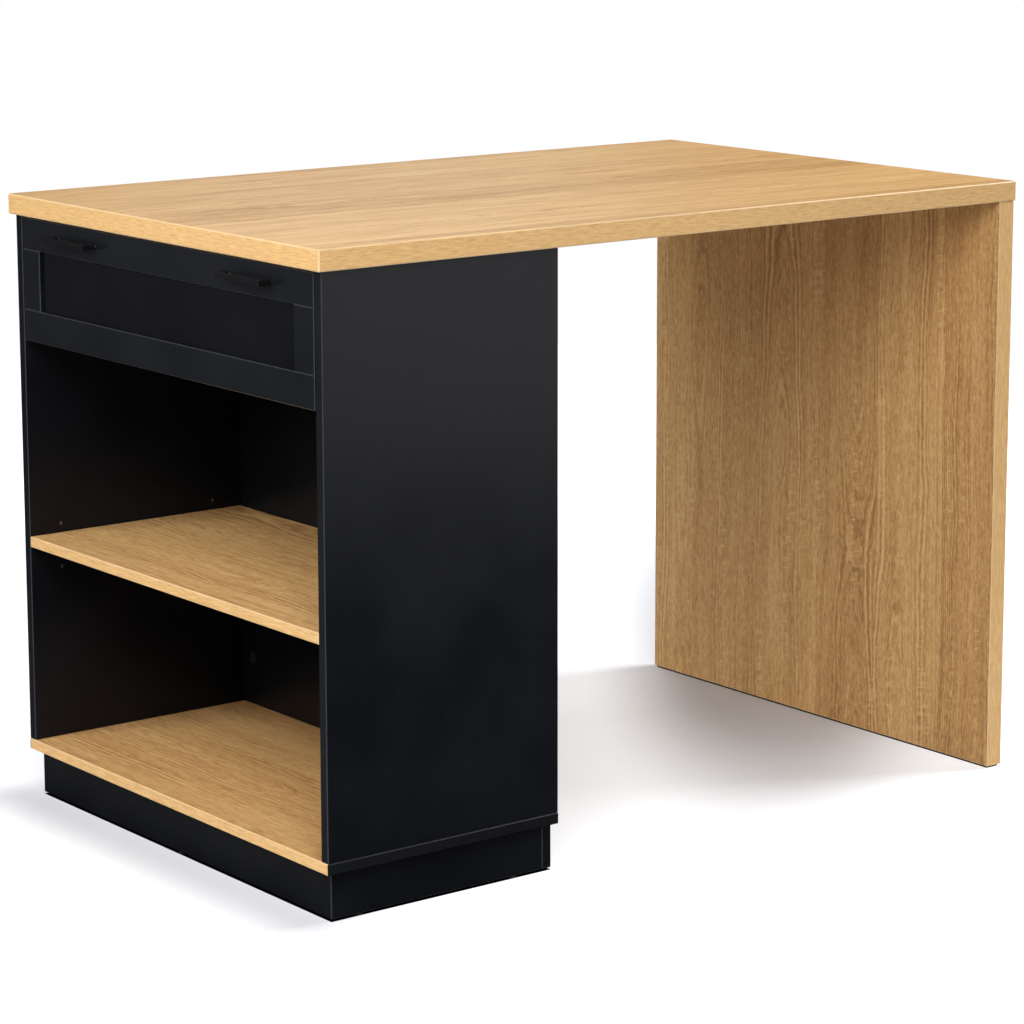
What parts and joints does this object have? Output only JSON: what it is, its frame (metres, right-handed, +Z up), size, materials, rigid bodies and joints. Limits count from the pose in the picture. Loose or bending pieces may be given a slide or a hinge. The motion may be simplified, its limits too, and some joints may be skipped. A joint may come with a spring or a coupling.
{
  "type": "kitchen island unit",
  "caption": "Kitchen island with an oak worktop, a leg panel at one end and, at the other, a black open-shelved cabinet with a framed drawer on roller runners.",
  "frame": {"origin": "on the floor, under the middle of the whole unit's bounding box", "axes": "+Z up; X along the length, with the drawer and the open shelves facing -X and the leg panel at +X; Y across the width"},
  "size_m": [1.212, 0.76, 0.86],
  "materials": {
    "oak_worktop": "pale oak grain, satin",
    "oak_board": "oak grain, satin",
    "black_board": "black, matt",
    "black_front": "black, matt",
    "handle_coating": "black powder coat, satin",
    "black_plastic": "matt",
    "tan_plastic": "matt",
    "beech": "raw",
    "drawer_board": "pale laminate, matt",
    "runner_steel": "white epoxy coat, satin",
    "roller_nylon": "matt",
    "cam_metal": "die-cast, dull",
    "zinc_steel": "bright zinc"
  },
  "bodies": {
    "root": {"worktop": "oak_worktop", "leg_panel": "oak_board", "leg_floor_strip": "black_plastic", "floor_strip_screws": "zinc_steel", "side_panel_right": "black_board", "side_panel_left": "black_board", "bottom_panel": "oak_board", "back_panel": "black_board", "middle_shelf": "oak_board", "shelf_supports": "zinc_steel", "plinth_front": "black_board", "plinth_rear": "black_board", "plinth_right": "black_board", "plinth_left": "black_board", "plinth_glides": "black_plastic", "corner_brackets": "zinc_steel", "bracket_screws": "zinc_steel", "cam_bolts": "zinc_steel", "cam_discs": "cam_metal", "cam_caps_black": "black_plastic", "cam_caps_oak": "tan_plastic", "wooden_dowels": "beech", "base_screws": "zinc_steel", "cabinet_runner_right": "runner_steel", "cabinet_runner_left": "runner_steel", "cabinet_runner_screws": "zinc_steel", "front_axle_pins": "zinc_steel"},
    "drawer": {"drawer_top_rail": "black_front", "drawer_bottom_rail": "black_front", "drawer_stile_right": "black_front", "drawer_stile_left": "black_front", "drawer_field_panel": "black_front", "drawer_side_right": "drawer_board", "drawer_side_left": "drawer_board", "drawer_back": "drawer_board", "drawer_bottom": "drawer_board", "drawer_cam_bolts": "zinc_steel", "drawer_cam_discs": "cam_metal", "drawer_box_screws": "zinc_steel", "handle_right": "handle_coating", "handle_left": "handle_coating", "handle_screws": "zinc_steel", "drawer_runner_right": "runner_steel", "drawer_runner_left": "runner_steel", "drawer_runner_screws": "zinc_steel", "rear_axle_pins": "zinc_steel"},
    "front_roller_right": {"front_roller_right": "roller_nylon"},
    "front_roller_left": {"front_roller_left": "roller_nylon"},
    "rear_roller_right": {"rear_roller_right": "roller_nylon"},
    "rear_roller_left": {"rear_roller_left": "roller_nylon"}
  },
  "joints": [
    {"name": "drawer_slide", "type": "slide", "parent": "root", "child": "drawer", "axis": [-1, 0, 0], "range_m": [0, 0.225]},
    {"name": "front_roller_right_spin", "type": "hinge", "parent": "root", "child": "front_roller_right", "pos_m": [-0.557, -0.3524, 0.6767], "axis": [0, 1, 0], "range_deg": [-1620, 0]},
    {"name": "rear_roller_right_spin", "type": "hinge", "parent": "drawer", "child": "rear_roller_right", "pos_m": [-0.283, -0.3524, 0.6741], "axis": [0, 1, 0], "range_deg": [-1620, 0]},
    {"name": "front_roller_left_spin", "type": "hinge", "parent": "root", "child": "front_roller_left", "pos_m": [-0.557, 0.3524, 0.6767], "axis": [0, 1, 0], "range_deg": [-1620, 0]},
    {"name": "rear_roller_left_spin", "type": "hinge", "parent": "drawer", "child": "rear_roller_left", "pos_m": [-0.283, 0.3524, 0.6741], "axis": [0, 1, 0], "range_deg": [-1620, 0]}
  ],
  "couplings": [
    {"joint": "front_roller_right_spin", "follows": "drawer_slide", "rad_per_m": -125},
    {"joint": "rear_roller_right_spin", "follows": "drawer_slide", "rad_per_m": -125},
    {"joint": "front_roller_left_spin", "follows": "drawer_slide", "rad_per_m": -125},
    {"joint": "rear_roller_left_spin", "follows": "drawer_slide", "rad_per_m": -125}
  ]
}
